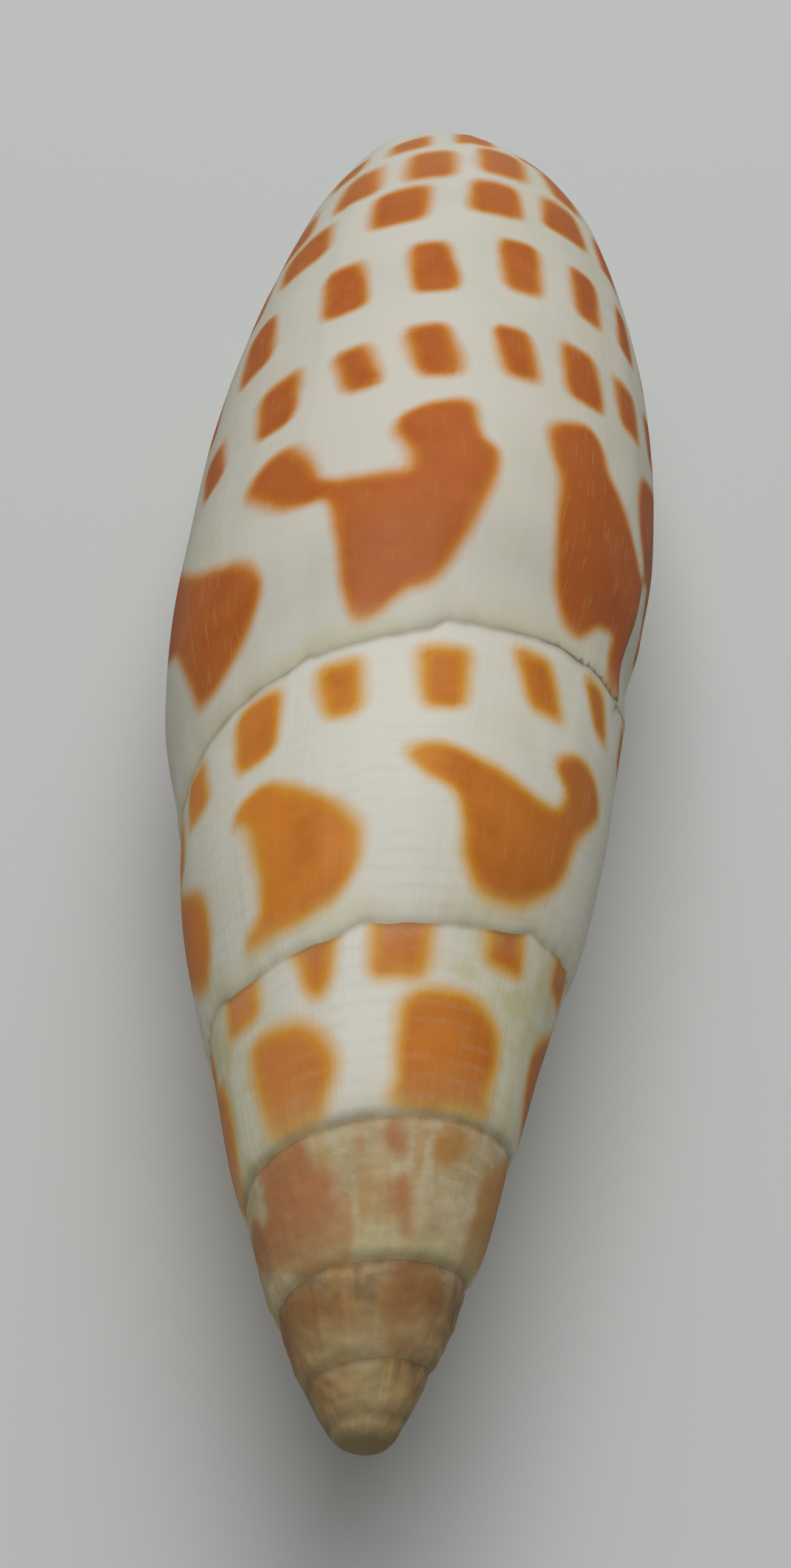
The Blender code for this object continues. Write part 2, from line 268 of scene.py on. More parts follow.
# (name, place, power, whether the shell mirrors it)
LAMPS = (("overhead", (-0.09, 0, 1.1), 3.7, True), ("behind", (0, 0.6, 0.95), 7.4, False))
LENS_MM = 37.218
SENSOR_MM = 36
CAMERA_PLACE = (-0.00139, -0.08112, 0.09048)
CAMERA_TURN = (41.505, -2.815, 2.993)  # degrees
NEAREST_SEEN = 0.005

# Small markings of the last whorl, back to front, each as (degrees round the shell, millimetres in
# front of the suture, degrees wide, millimetres long, degrees that it leans back for each millimetre).
BODY_SQUARES = (
    (-79, 24, 10, 6, 0.9), (-56, 24.4, 10, 5.6, 0.9), (-33, 23.9, 11.5, 6.2, 0.2),
    (-13, 23.4, 8.5, 5.5, 0.8), (4, 23.8, 10.5, 6.3, 0.7), (22.7, 24, 9, 6, 0.5),
    (40.5, 24.3, 11.5, 6.3, 0.35), (58, 25, 10.5, 5.5, 0.35), (77, 26.5, 12, 5.5, 0.3),
    (-69, 35, 11, 7.5, 0.7), (-45.5, 35.5, 12, 7.8, 0.35), (-19, 34.9, 11, 7.4, 0.35),
    (2.5, 35.2, 10.5, 7.6, 0.4), (24.3, 36, 10.5, 7.8, 0.1), (44, 36, 9.5, 7.4, 0),
    (62, 36.6, 8.5, 7.2, -0.2), (80, 37, 10, 7, -0.2),
    (-59, 46.2, 15, 6.2, 0.3), (-36, 46.3, 17, 6, 0.3), (-7.5, 46.4, 16, 6.6, 0),
    (18.5, 47, 14.5, 6.4, 0), (40.5, 47.7, 15.5, 6.5, 0), (61, 47.5, 12, 6.5, 0),
    (81, 47.5, 12, 6.5, 0),
    (-67, 53.5, 13, 5.8, 0.2), (-45, 53.5, 14, 5.8, 0.2), (-22, 53.8, 14, 6, 0),
    (0, 54.1, 14.5, 6.2, 0), (22, 55.4, 15, 6.6, 0), (45, 55.5, 14, 6.6, 0),
    (67, 54.5, 13, 6, 0),
    (-30, 60.6, 13, 4, 0), (-8, 61, 13, 4.2, 0), (14, 61.4, 13, 3.8, 0),
    (37, 60.6, 13, 3.8, 0), (60, 59.8, 12, 3.8, 0),
)
# The same rows go on round the hidden side: (first degree, last degree, millimetres, wide, long).
BODY_ROWS_HIDDEN = (
    (-212, -100, 24, 11, 6), (98, 138, 25.5, 11, 5.8),
    (-205, -90, 35.4, 11, 7.4), (100, 138, 37, 10, 7),
    (-200, -82, 46, 14, 6), (102, 136, 47, 13, 6.2),
    (-195, -90, 53, 13, 5.4), (88, 132, 54, 13, 5.6),
    (-140, -52, 60, 12, 3.6), (82, 130, 59, 12, 3.6),
)
SQUARE_SPACING = 22.5  # degrees between neighbours in a row
# How much they vary, each from the first number to the second.
ROW_STRAYS = (-2, 2)  # degrees
ROW_WIDTHS = (0.85, 1.1)  # over the row's own
ROW_SHIFTS = (-0.4, 0.4)  # millimetres
ROW_LENGTHS = (0.88, 1.05)  # over the row's own
ROW_LEANS = (-0.2, 0.7)
ROW_SKEWS = (-0.15, 0.15)
SQUARE_SKEWS = (-0.12, 0.12)

# Outlines of the large blotches of the last whorl: (degrees, millimetres in front of the suture).
BODY_BLOTCHES = (
    ((-33, 7.2), (-38, 9.6), (-46, 11.2), (-56, 13.6), (-66, 17.2), (-76, 21.5), (-88, 24),
     (-97, 22), (-95, 17.5), (-84, 14.6), (-73, 11.4), (-65, 9.2), (-61, 6), (-58, 3.6), (-50, 3),
     (-41, 3.9), (-35, 5.6)),
    ((-38, 15.6), (-34, 17.5), (-27, 17.5), (-22, 15.4), (-18, 12.6), (-11, 11.8), (-2.6, 11.5),
     (0.4, 11.6), (0.4, 12.7), (-1, 13.8), (-3.2, 15.5), (0.6, 17.2), (9, 17.8), (13, 17.2), (15, 14.4),
     (19, 12.6), (17.6, 9), (12.6, 5.2), (7.4, 3.1), (1, 2.6), (-5, 1.4), (-10, 1.6), (-13, 4),
     (-14.6, 8), (-17, 10.6), (-23, 11.1), (-29, 12.1), (-34, 13.8)),
    ((30.5, 15.6), (33, 17.4), (41, 18.6), (46, 17.6), (49, 15.2), (57, 12.8), (66, 10.2),
     (71.5, 8.8), (72, 4), (71.5, -1), (64, -1), (62.5, 1.4), (62, 3.2), (55, 2.8), (49, 1.2),
     (43, 1.6), (38, 4.2), (35, 8), (34, 12)),
    ((63, 15.5), (66, 19.3), (76, 21), (88, 22.4), (100, 21), (104, 16), (98, 9), (90, 5.5),
     (84, 5.6), (82, 9), (79, 11.2), (72, 10.4), (66, 12.6)),
    ((118, 20), (124, 13), (121, 6), (126, 3.5), (133, 8), (136, 15), (130, 21)),
    ((-112, 15), (-116, 20.5), (-127, 20), (-136, 14), (-139, 7), (-131, 3), (-121, 4), (-115, 9)),
    ((-152, 17.5), (-162, 20), (-171, 15.5), (-168, 9), (-175, 4.5), (-164, 2.6), (-153, 7)),
    ((-190, 16), (-198, 18.5), (-207, 14), (-204, 7), (-194, 5.5), (-187, 10)),
)
PENULTIMATE_SQUARES = (
    (-62, 13.7, 12, 4, 1.1), (-36, 13.8, 14.2, 4.7, 0.2), (-12.4, 14.3, 10.6, 4, 0.7),
    (13, 14.6, 12.4, 4.4, 0.35), (39, 15.7, 12, 4.2, 1.55), (62, 16.8, 9.4, 3.5, 2.1),
)
PENULTIMATE_ROWS_HIDDEN = ((-205, -80, 12.6, 12, 3.8), (86, 130, 17.8, 11, 3.8))
PENULTIMATE_BLOTCHES = (
    ((-42.5, 8.4), (-40, 9.3), (-32, 9.6), (-26, 9), (-18, 7.8), (-9, 6.3), (-4.5, 4.8), (-5, 3),
     (-10, 1.5), (-18, 0.9), (-32, 0.8), (-41, 0.9), (-42, 1.6), (-36, 2.4), (-35, 4), (-37, 6.4),
     (-39.5, 7.9)),
    ((6.5, 9.2), (10, 9.8), (18, 9.7), (26, 9.1), (34, 8.5), (44, 7.8), (51, 8), (53, 9.2),
     (48, 10.5), (51, 11.7), (59, 12.2), (67, 11.6), (71.5, 10.2), (68, 8.6), (62.5, 7), (60.5, 4.6),
     (55, 2.6), (46, 1.2), (38, 1.0), (30, 1.5), (24.5, 3.2), (22.5, 5.4), (19, 7), (11, 8)),
    ((-58.5, 5.4), (-60, 3.6), (-66, 1.9), (-74, 2.4), (-85, 4.2), (-98, 6.4), (-101, 9),
     (-93, 11.4), (-83, 10.4), (-72, 8.4), (-62, 7)),
    ((96, 9.5), (100, 13), (113, 13.5), (124, 10), (122, 5), (112, 2), (102, 3)),
    ((-118, 3), (-122, 8), (-134, 9.6), (-146, 7), (-150, 3.4), (-140, 1.4), (-126, 1.2)),
    ((-172, 8.5), (-184, 9.8), (-197, 8), (-201, 4.4), (-190, 1.6), (-175, 3)),
)
THIRD_SQUARES = (
    (-50, 8.1, 18, 2.7, 0), (9.6, 8.6, 19.4, 3.8, 0), (45.6, 9.6, 15.5, 2.9, 1.1),
    (80, 10.3, 17, 2.2, 1.5),
)
THIRD_ROWS_HIDDEN = ((-205, -85, 7, 15, 2.6), (108, 130, 10.4, 14, 2.4))
THIRD_BLOTCHES = (
    ((-27, 9.9), (-12, 10.2), (-11.8, 8.2), (-12.8, 7), (-17, 6.3), (-21.6, 6.9), (-24, 8.2)),
    ((-47.5, 4.8), (-43, 5.6), (-30, 5.5), (-20, 4.9), (-13, 3.6), (-11.5, 2.4), (-15, 1.2),
     (-20, 0.3), (-40, 0.3), (-45, 2)),
    ((11, 5), (17, 6.1), (29, 6.3), (40, 6), (49, 5), (52.5, 3.6), (51.5, 1.6), (50.5, 0.4),
     (13, 0.4), (11.2, 2)),
    ((-69, 5), (-67, 2.6), (-72, 0.4), (-92, 0.2), (-97, 3), (-90, 6.2), (-78, 6)),
    ((74, 4.6), (80, 6.5), (94, 8), (104, 6.5), (106, 3), (96, 1), (82, 2)),
    ((124, 5.5), (134, 7), (139, 3.5), (130, 1.2)),
    ((-122, 4.6), (-132, 5.8), (-146, 4.8), (-149, 2), (-136, 0.6), (-124, 1.4)),
    ((-174, 4.4), (-186, 5.4), (-199, 4), (-199, 1.4), (-184, 0.4), (-174, 1.6)),
)
FOURTH_BLOTCHES = (
    ((-55, 5.4), (-50, 6.3), (-32, 6.4), (-26, 4.9), (-17, 3.9), (-11, 2.4), (-6, 0.6), (-12, -0.4),
     (-30, -0.4), (-47, 0.4), (-62, 1.2), (-80, 2.2), (-90, 3.4), (-74, 4), (-62, 3.3), (-52, 3.4)),
    ((7, 5.4), (11, 5.9), (17, 5.2), (16, 4.5), (10, 4.7)),
    ((31, 5), (36, 6), (44, 6.2), (48, 5.6), (41, 4.9), (36, 4.4)),
    ((13, 2.6), (18, 3.4), (23, 2.6), (27, 1), (21, 0.9), (17, 1.8)),
    ((62, 3.8), (72, 5.4), (86, 6.6), (100, 5), (98, 1.6), (80, 0.3), (63, 0.5)),
    ((-110, 4.4), (-128, 4.8), (-139, 2.8), (-128, 0.8), (-112, 1.2)),
    ((-170, 4), (-190, 4.4), (-203, 2.4), (-190, 0.6), (-172, 1)),
    ((118, 5), (136, 5.4), (138, 2), (120, 1.4)),
)
FIFTH_BLOTCHES = (
    ((-98, 0.6), (-90, 2.6), (-60, 3.3), (-38, 3.0), (-20, 2.3), (-9, 1.4), (-12, 0.2), (-30, -0.2),
     (-60, -0.2), (-85, 0)),
    ((24, 0), (17, 1.4), (18, 3), (26, 3.9), (38, 3.8), (54, 3), (66, 1.6), (60, 0.2), (40, -0.2)),
    ((100, 0.4), (108, 2.6), (134, 2.6), (138, 0.6), (120, 0)),
    ((-150, 0.4), (-146, 2.2), (-122, 2.4), (-116, 0.6), (-130, 0)),
)
SIXTH_BLOTCHES = (
    ((-62, 0.3), (-50, 1.3), (-24, 1.5), (-4, 1.0), (-6, 0.2), (-30, 0)),
    ((30, 0.2), (40, 1.4), (70, 1.6), (80, 0.6), (56, 0)),
)


def curve_through(points):
    """Return a smooth function through (x, y) points that never overshoots them."""
    xs = [p[0] for p in points]
    ys = [p[1] for p in points]
    slopes = [(ys[i + 1] - ys[i]) / (xs[i + 1] - xs[i]) for i in range(len(xs) - 1)]
    tangents = [slopes[0]]
    for before, after in zip(slopes, slopes[1:]):
        same_way = before * after > 0
        tangents.append(2 * before * after / (before + after) if same_way else 0.0)
    tangents.append(slopes[-1])

    def value(x):
        x = min(max(x, xs[0]), xs[-1])
        i = min(max(bisect.bisect_right(xs, x) - 1, 0), len(xs) - 2)
        width = xs[i + 1] - xs[i]
        t = (x - xs[i]) / width
        return (ys[i] * (1 + 2 * t) * (1 - t) ** 2 + tangents[i] * width * t * (1 - t) ** 2
                + ys[i + 1] * t * t * (3 - 2 * t) - tangents[i + 1] * width * t * t * (1 - t))

    return value


def smooth(x):
    """Ease from 0 to 1 as x goes from 0 to 1."""
    x = min(max(x, 0.0), 1.0)
    return x * x * (3 - 2 * x)


def grown(x, span):
    """Ease from 0 to 1 over a (start, width) span."""
    return smooth((x - span[0]) / span[1])


def mound(x, span):
    """Bell curve of height 1 over a (middle, width) span."""
    return math.exp(-((x - span[0]) / span[1]) ** 2)


spire_radius = curve_through(SPIRE_OUTLINE)
body_swell = curve_through(BODY_OUTLINE)
columella_radius = curve_through(COLUMELLA_OUTLINE)
axis_bend = curve_through(AXIS_BEND)
body_suture_stray = curve_through(BODY_SUTURE_STRAYS)
penultimate_suture_stray = curve_through(PENULTIMATE_SUTURE_STRAYS)


def even_suture(turn):
    """Distance of a whorl's suture from the tip, were it even."""
    a, b, c, d = SUTURE_GROWTH
    return math.exp(a + b * turn + c * turn ** 2 + d * turn ** 3)


@cache
def suture(turn):
    """Distance of a whorl's suture from the tip, with the ways that it strays."""
    even = even_suture(turn)
    wander = noise.noise(Vector((turn * WANDER_WAVES, SUTURE_NOISE, 0))) * min(even / WANDER_FULL, 1)
    strays = body_suture_stray(360 * turn) + penultimate_suture_stray(360 * turn + 360)
    return even + (SUTURE_WANDER / MM * wander + strays) * MM / LENGTH


@cache
def front_end(turn):
    """Where the last whorl ends in front."""
    return 1.0 - NOTCH_DEPTH * mound(turn, NOTCH_SPAN) - LIP_CORNER * grown(turn, LIP_CORNER_GROWS)


def whorl_radius(turn, along):
    """Radius of a spire whorl, as a share of the length."""
    back = suture(turn)
    height = suture(turn + 1) - back
    share = min(max((along - back) / height, 0.0), 1.0)
    return spire_radius(along) + WHORL_BULGE * height * 4 * share * (1 - share)


def last_whorl_radius(turn, along):
    """Radius of the last whorl: it swells in front of its suture and gathers in at its front end."""
    back = suture(turn)
    base = spire_radius(back)
    share = min((along - back) / (1.0 - back), 1.0)
    pinch = PINCH * share / PINCH_PLACE * math.exp(1 - share / PINCH_PLACE) * grown(turn, PINCH_GROWS)
    curl = LIP_CURL * grown(turn, CURL_GROWS)
    swell = 1 + (body_swell(share) - 1) * (1 - CURL_OF_SWELL * curl)
    radius = base * swell * (1 - pinch) * (1 - curl * grown(share, CURL_DEEPENS))
    rolled = 1 - grown(turn, FRONT_UNROLLS)
    gather = (base * body_swell(1.0) - columella_radius(1.0)) * rolled
    ridge = FASCIOLE_HEIGHT / LENGTH * grown(turn, FASCIOLE_GROWS) * (1 - grown(turn, FASCIOLE_FADES))
    behind_front = along - front_end(turn) + FASCIOLE_SLANT * rolled
    return radius - gather * grown(share, FRONT_GATHERS) + ridge * mound(behind_front, FASCIOLE_SPAN)


def inner_lip_radius(turn, along):
    """Radius of the columella and of the wall above it, with the columella's folds."""
    back = suture(turn + 1)
    share = min(max((along - back) / (1.0 - back), 0.0), 1.0)
    wall_above = (spire_radius(back) - columella_radius(0.0)) * (1 - grown(share, PARIETAL_WALL))
    radius = columella_radius(share) + wall_above
    fade = grown(turn, FOLDS_GROW) * (1 - grown(turn, FOLDS_FADE))
    for fold_place, height in zip(FOLD_PLACES, FOLD_HEIGHTS):
        middle = fold_place + FOLD_SLANT * (turn - LIP_TURN + 1)
        radius += height / LENGTH * fade * mound(share, (middle, FOLD_WIDTH))
    return radius


def outer_radius(turn, along):
    """Radius of the shell's outside in metres, before its fine relief."""
    back = suture(turn)
    height = suture(turn + 1) - back
    beyond = along - back
    radius = whorl_radius(turn, along) if beyond <= height else inner_lip_radius(turn, along)
    share = grown(turn, INNER_LIP_SWELLS)
    if share > 0:
        radius += (last_whorl_radius(turn, along) - radius) * share
    step = SUTURE_STEP * (1 - math.exp(-beyond / STEP_REACH)) * (1 - smooth(beyond / height))
    step *= grown(along, STEP_GROWS)
    under = turn - round(turn - FLAT_TURN[0])
    flat = VENTRAL_FLAT * mound(under, FLAT_TURN) * mound(along, FLAT_ALONG)
    return radius * LENGTH + step - flat


def place(turn, along, radius):
    """Point at a turn, a distance along the axis and a radius from the axis."""
    angle = math.tau * turn
    bend = axis_bend(along) * LENGTH
    return Vector((radius * math.sin(angle) + bend, along * LENGTH, radius * math.cos(angle)))


@cache
def suture_walk(turn):
    """Length of the suture up to a turn, in metres, for the beads along it."""
    return math.tau * spire_radius(suture(turn)) * LENGTH / SUTURE_WIDENING


def beads(turn, beyond):
    """Uneven beads that fade in front of the suture."""
    walk = suture_walk(turn) / MM / BEAD_MM
    middle, variety = BEAD_HEIGHTS
    uneven = middle + variety * noise.noise(Vector((walk * BEAD_CHANGES, BEAD_NOISE, 0)))
    return CRENULATION * uneven * math.sin(math.tau * walk) * math.exp(-beyond / BEAD_REACH)


def growth_stop(turn, beyond):
    """Raised edge where growth stopped for a while, with a drop beyond it."""
    if turn <= GROWTH_STOP_TURN:
        height = grown(turn, (GROWTH_STOP_TURN - GROWTH_STOP_RISE, GROWTH_STOP_RISE))
    else:
        height = GROWTH_STOP_DROP * (grown(turn, (GROWTH_STOP_TURN, GROWTH_STOP_FALL)) - 1)
    return GROWTH_STOP_HEIGHT * height * (1 - grown(beyond, GROWTH_STOP_REACH))


def lively(turn, along):
    """1, but 0 where the lip meets the whorl before it, so that the sheets meet there."""
    near_lip = grown(turn, (LIP_TURN - MEETING_TURNS, MEETING_TURNS))
    near_start = 1 - grown(turn, (LIP_TURN - 1, MEETING_TURNS))
    return 1 - max(near_lip, near_start * mound(along, (suture(turn + 1), MEETING_SHARE)))


def layered(point, layers):
    """Noise at a point in millimetres, added up from layers of (scale, share)."""
    return sum(share * noise.noise(point * scale) for scale, share in layers)


def groove(distance, turn):
    """Depth of the groove that wear has opened at a distance from a turn's suture."""
    return GROOVE * grown(-turn, GROOVE_TURNS) * math.exp(-(distance / GROOVE_REACH) ** 2)


def relief(turn, along):
    """Fine relief of the outside, in metres."""
    beyond = (along - suture(turn)) * LENGTH
    point = place(turn, along, outer_radius(turn, along)) / MM
    above = 1 - mound(turn - round(turn - FLAT_TURN[0]), FLAT_TURN)
    uneven = UNEVENNESS * above * layered(point, SWELLS)
    waves_round, waves_along = GROWTH_LINE_WAVES
    line_spot = Vector((turn * waves_round, along * waves_along, LINE_NOISE))
    lines = GROWTH_LINES * noise.noise(line_spot)
    worn = grown(-turn, WORN_TURNS)
    eroded = EROSION * worn * layered(point, PITTING)
    grooves = groove(beyond, turn)
    if turn < LIP_TURN - 1:
        grooves += groove((suture(turn + 1) - along) * LENGTH, turn + 1)
    grooves *= grown(along, STEP_GROWS)
    growth = (beads(turn, beyond) * (1 - worn) + lines) * lively(turn, along)
    height = uneven + eroded - grooves + growth
    if turn > 0:
        height += growth_stop(turn, beyond)
    return height * smooth(along / TIP_SMOOTH)


def outer_surface(turn, along, share=1.0):
    """Radius of the outside with a share of its fine relief."""
    radius = outer_radius(turn, along)
    return radius + relief(turn, along) * share if share > 0 else radius


def columella_surface(turn, along):
    """Radius of the columella: the outside's relief fades on the way in."""
    return outer_surface(turn, along, 1 - grown(LIP_TURN - 1 - turn, INWARD_FADE))


def rows_between(back, middle, front):
    """Where a section's rows lie: crowded from back to middle, even from middle to front."""
    spire = [back + (middle - back) * (i / SPIRE_ROWS) ** ROW_CROWDING for i in range(SPIRE_ROWS + 1)]
    body = [middle + (front - middle) * i / BODY_ROWS for i in range(1, BODY_ROWS + 1)]
    return spire + body


@cache
def last_whorl_rows(turn):
    """Rows of a last-whorl section; the first rows keep the height of the whorl they come from."""
    exposed = suture(LIP_TURN) - suture(LIP_TURN - 1)
    return rows_between(suture(turn), suture(turn) + exposed, front_end(turn))


def spot(turn, along, radius, inside=0.0, seat=None):
    """A point of the mesh with the growth that it belongs to."""
    return place(turn if seat is None else seat, along, radius), turn, along, inside


def spire_section(turn):
    """Spots from a spire whorl's suture to the next suture."""
    rows = rows_between(suture(turn), suture(turn + 1), 1.0)[:SPIRE_ROWS]
    spots = [spot(turn, along, outer_surface(turn, along)) for along in rows]
    end = suture(turn + 1)
    return spots + [spot(turn, end, outer_surface(turn + 1, end), seat=turn + 1)]


def body_section(turn):
    """Spots of the last whorl's outside, from its suture to its front end."""
    return [spot(turn, along, outer_surface(turn, along)) for along in last_whorl_rows(turn)]


def wall_share(turn, along):
    """How much of the full wall thickness a point has: none at the suture and at the front rim."""
    thickening = smooth((along - suture(turn)) / WALL_THICKENS)
    thinning = smooth((front_end(turn) - along) / WALL_THINS)
    return math.sqrt(thickening * thinning)


def lip_teeth(along):
    """How far the notches between the lip's small teeth cut it back, in metres."""
    wave = math.sin(math.tau * along * LENGTH / MM / LIP_TOOTH_MM)
    cut = 0.5 - 0.5 * max(wave, TOOTH_NOTCH_FLOOR)
    return -LIP_TEETH * cut * grown(along, TEETH_GROW) * (1 - grown(along, TEETH_FADE))


def lip_section(angle):
    """Spots of the lip's rounded edge; angle goes from 0, outside, to pi, inside."""
    for along in last_whorl_rows(LIP_TURN):
        share = wall_share(LIP_TURN, along)
        turned = (1 - math.cos(angle)) / 2
        outside = outer_surface(LIP_TURN, along, 1 - share * turned)
        radius = outside - WALL * share * turned
        reach = (LIP_ROUNDING + lip_teeth(along)) * share * math.sin(angle)
        past = reach / (math.tau * radius)
        yield spot(LIP_TURN, along, radius, turned * share, LIP_TURN + past)


def hollow_corner(turn):
    """Where the hollow's back corner lies along the axis."""
    return suture(turn) + CORNER_MARGIN * smooth((LIP_TURN - turn) / CORNER_TURNS)


def hollow_wall_section(turn):
    """Spots of the outer wall's inside, from the back corner to the front rim."""
    depth = smooth((LIP_TURN - turn) / CAVITY_TURNS) ** 2
    corner = hollow_corner(turn)
    front = front_end(turn)
    for row in last_whorl_rows(turn):
        share = (row - suture(turn)) / (front - suture(turn))
        along = corner + (front - corner) * share
        inner = columella_surface(turn - 1, along)
        thick = wall_share(turn, along)
        radius = outer_surface(turn, along, 1 - thick) - WALL * thick
        closing = HOLLOW_CLOSES * depth * smooth((front - along) / CORNER_SPAN)
        radius += (inner + DEEP_GAP - radius) * closing
        radius = inner + (radius - inner) * math.sqrt(smooth(share / CORNER_SPAN))
        yield spot(turn, along, radius, thick)


def columella_section(turn):
    """Spots of the columella from the hollow's back corner to its tip, one whorl in."""
    corner = hollow_corner(turn + 1)
    rows = last_whorl_rows(LIP_TURN - 1)[SPIRE_ROWS:]
    for row in rows:
        share = (row - rows[0]) / (rows[-1] - rows[0])
        along = corner + (rows[-1] - corner) * share
        yield spot(turn, along, columella_surface(turn, along), 1.0)


def skin(mesh, sections):
    """Make a sheet through the sections and note the growth at its points; return the last ones."""
    layers = [mesh.verts.layers.float.get(n) or mesh.verts.layers.float.new(n) for n in GROWTH]
    sections = [list(section) for section in sections]
    rows = len(sections[0])
    steps = len(sections) - 1
    verts = bmesh.ops.create_grid(mesh, x_segments=rows - 1, y_segments=steps, size=1.0)["verts"]
    for vert, (point, *growth) in zip(verts, itertools.chain.from_iterable(sections)):
        vert.co = point
        for layer, value in zip(layers, growth):
            vert[layer] = value
    return verts[-rows:]


def keep_growth(mesh, faces):
    """Copy the growth of each point to the corners of faces, where two whorls keep their own."""
    for name in GROWTH:
        point_layer = mesh.verts.layers.float[name]
        layer = mesh.loops.layers.float.get(name) or mesh.loops.layers.float.new(name)
        for face in faces:
            for corner in face.loops:
                corner[layer] = corner.vert[point_layer]


def turns_between(first, last):
    """Growth steps from one turn to another, either way round."""
    steps = round(abs(last - first) * COLUMNS)
    return [first + (last - first) * i / steps for i in range(steps + 1)]


def build_shell():
    """Make the closed mesh: outside, rounded lip, hollow, columella and the two tips."""
    mesh = bmesh.new()
    inner_start = LIP_TURN - 1
    for whorl in range(WHORLS - 1, 0, -1):
        skin(mesh, [spire_section(t) for t in turns_between(LIP_TURN - whorl - 1, LIP_TURN - whorl)])
    skin(mesh, [body_section(t) for t in turns_between(inner_start, LIP_TURN)])
    lip = [lip_section(math.pi * i / LIP_STEPS) for i in range(LIP_STEPS)]
    hollow = [hollow_wall_section(t) for t in turns_between(LIP_TURN, LIP_TURN - CAVITY_TURNS)]
    wall_end = skin(mesh, lip + hollow)
    columella = [columella_section(t) for t in turns_between(inner_start, inner_start - CAVITY_TURNS)]
    columella_end = skin(mesh, columella)
    mesh.faces.new(wall_end + columella_end[::-1])
    keep_growth(mesh, mesh.faces)
    bmesh.ops.remove_doubles(mesh, verts=mesh.verts, dist=WELD)
    edge = [e for e in mesh.edges if e.is_boundary]
    keep_growth(mesh, bmesh.ops.holes_fill(mesh, edges=edge, sides=0)["faces"])
    for name in GROWTH:
        mesh.verts.layers.float.remove(mesh.verts.layers.float[name])
    bmesh.ops.triangulate(mesh, faces=[f for f in mesh.faces if len(f.verts) > 4])
    bmesh.ops.recalc_face_normals(mesh, faces=mesh.faces)
    for angle, axis in ((REST_ROLL, "Y"), (REST_PITCH, "X")):
        bmesh.ops.rotate(mesh, verts=mesh.verts, matrix=Matrix.Rotation(angle, 3, axis))
    bmesh.ops.translate(mesh, verts=mesh.verts, vec=REST_PLACE)
    return mesh


def small_marking(degrees, ahead, wide, long, lean, skew):
    """Outline of a four-sided marking with rounded corners that leans back round the shell."""
    for i in range(SMALL_POINTS):
        angle = math.tau * i / SMALL_POINTS
        across = math.copysign(abs(math.cos(angle)) ** SQUARENESS, math.cos(angle))
        down = math.copysign(abs(math.sin(angle)) ** SQUARENESS, math.sin(angle))
        across *= 1 + skew * down
        yield degrees + across * wide / 2 - lean * down * long / 2, ahead + down * long / 2


def row_round(first, last, ahead, wide, long, draw):
    """Small markings in a row round the hidden side, with a little variety."""
    count = round((last - first) / SQUARE_SPACING)
    for i in range(count + 1):
        degrees = first + (last - first) * i / max(count, 1) + draw.uniform(*ROW_STRAYS)
        width = wide * draw.uniform(*ROW_WIDTHS)
        yield small_marking(degrees, ahead + draw.uniform(*ROW_SHIFTS), width,
                            long * draw.uniform(*ROW_LENGTHS), draw.uniform(*ROW_LEANS),
                            draw.uniform(*ROW_SKEWS))


def smooth_outline(points):
    """Close a smooth curve through listed points."""
    count = len(points)
    for i in range(count):
        before, start, end, after = (points[(i + k) % count] for k in (-1, 0, 1, 2))
        for step in range(OUTLINE_STEPS):
            t = step / OUTLINE_STEPS
            yield tuple(
                0.5 * (2 * b + (c - a) * t + (2 * a - 5 * b + 4 * c - d) * t * t
                       + (3 * b - a - 3 * c + d) * t ** 3)
                for a, b, c, d in zip(before, start, end, after))


def all_markings():
    """Every marking as (whorl, outline); whorl 0 is the last one, -1 the one before it."""
    draw = random.Random(MARKING_SEED)
    markings = []
    for whorl, squares, blotches, rows in (
            (0, BODY_SQUARES, BODY_BLOTCHES, BODY_ROWS_HIDDEN),
            (-1, PENULTIMATE_SQUARES, PENULTIMATE_BLOTCHES, PENULTIMATE_ROWS_HIDDEN),
            (-2, THIRD_SQUARES, THIRD_BLOTCHES, THIRD_ROWS_HIDDEN),
            (-3, (), FOURTH_BLOTCHES, ()), (-4, (), FIFTH_BLOTCHES, ()), (-5, (), SIXTH_BLOTCHES, ())):
        markings += [(whorl, small_marking(*square, draw.uniform(*SQUARE_SKEWS))) for square in squares]
        markings += [(whorl, smooth_outline(blotch)) for blotch in blotches]
        for row in rows:
            markings += [(whorl, outline) for outline in row_round(*row, draw)]
    return markings


def depth_in(outline, across, ahead):
    """Distance of points inside a closed outline, negative outside it."""
    nearest = np.full(across.shape, np.inf)
    inside = np.zeros(across.shape, bool)
    for (ax, ay), (bx, by) in zip(outline, outline[1:] + outline[:1]):
        ex, ey = bx - ax, by - ay
        px, py = across - ax, ahead - ay
        along = np.clip((px * ex + py * ey) / max(ex * ex + ey * ey, TINY), 0, 1)
        nearest = np.minimum(nearest, (px - ex * along) ** 2 + (py - ey * along) ** 2)
        if ay != by:
            inside ^= ((ay > ahead) != (by > ahead)) & (px < py * ex / ey)
    return np.where(inside, 1, -1) * np.sqrt(nearest)


